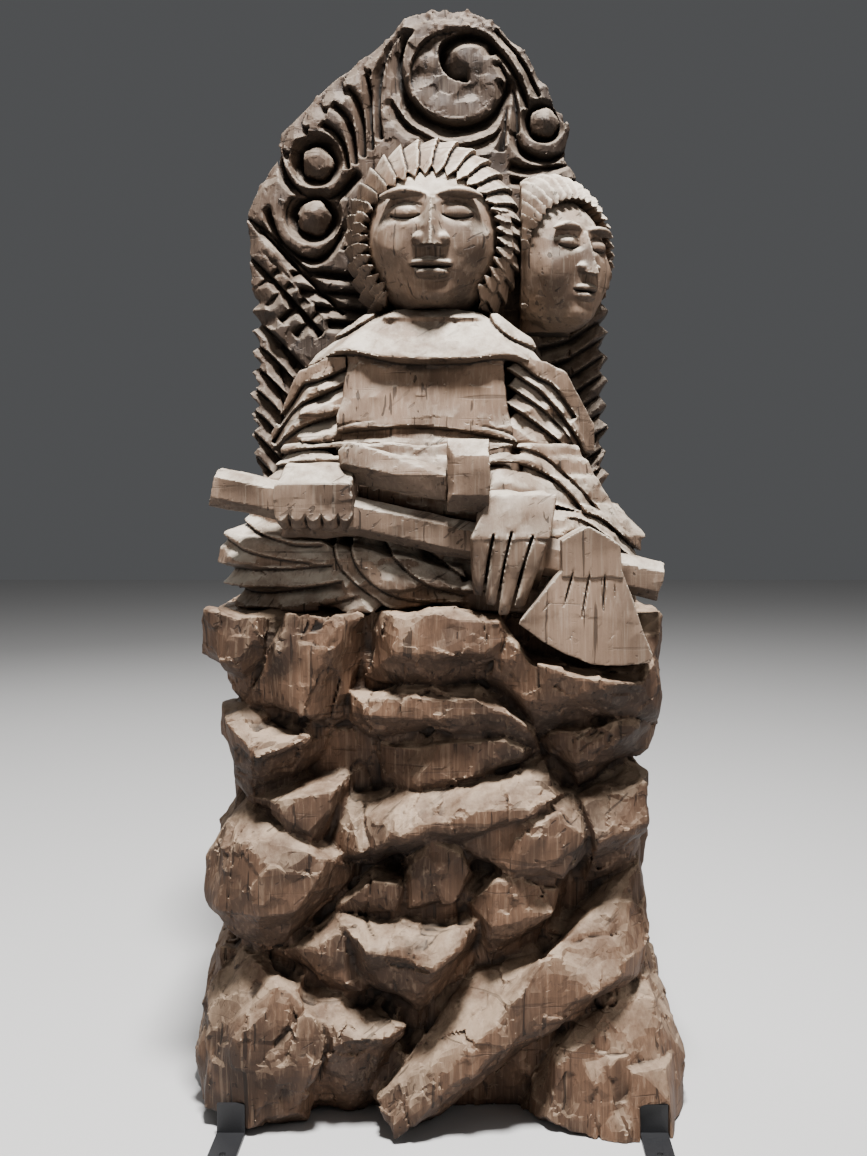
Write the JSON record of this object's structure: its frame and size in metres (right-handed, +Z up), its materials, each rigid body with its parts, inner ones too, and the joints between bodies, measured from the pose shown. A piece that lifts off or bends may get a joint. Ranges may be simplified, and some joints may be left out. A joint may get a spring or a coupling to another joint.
{
  "type": "carved wooden figure",
  "caption": "Seated robed figure with a smaller second head at its shoulder, carved in wood with an axe across its lap, on a craggy rock in front of a scrolled back slab, held by steel clips.",
  "frame": {"origin": "on the flat underside of the rock base, below the middle of the figure", "axes": "+Z up, the figure faces -Y, +X to the viewer's right, which is the figure's left"},
  "size_m": [0.376, 0.289, 0.864],
  "materials": {
    "rock_wood": "chisel-cut, unpainted, aged and checked, dark in the hollows",
    "figure_wood": "knife-cut, unpainted, aged, pale where light and hands reach it",
    "slab_wood": "gouge-cut, unpainted, aged and darkened",
    "dowel_wood": "turned, plain",
    "black_steel": "matt black paint"
  },
  "bodies": {
    "root": {"rock_base": "rock_wood", "legs_block": "figure_wood", "torso": "figure_wood", "right_sleeve": "figure_wood", "left_sleeve": "figure_wood", "main_head": "figure_wood", "side_head": "figure_wood", "right_fist": "figure_wood", "left_hand": "figure_wood", "axe_haft": "figure_wood", "axe_blade": "figure_wood", "sword_hilt": "figure_wood", "sword_guard": "figure_wood", "back_slab": "slab_wood", "base_dowels": "dowel_wood", "torso_dowels": "dowel_wood", "sleeve_dowels": "dowel_wood", "neck_dowel": "dowel_wood", "side_head_dowel": "dowel_wood", "slab_pegs": "dowel_wood", "fist_dowel": "dowel_wood", "hand_dowel": "dowel_wood", "guard_dowel": "dowel_wood", "eye_wedge": "dowel_wood", "right_clip": "black_steel", "left_clip": "black_steel"}
  },
  "joints": []
}
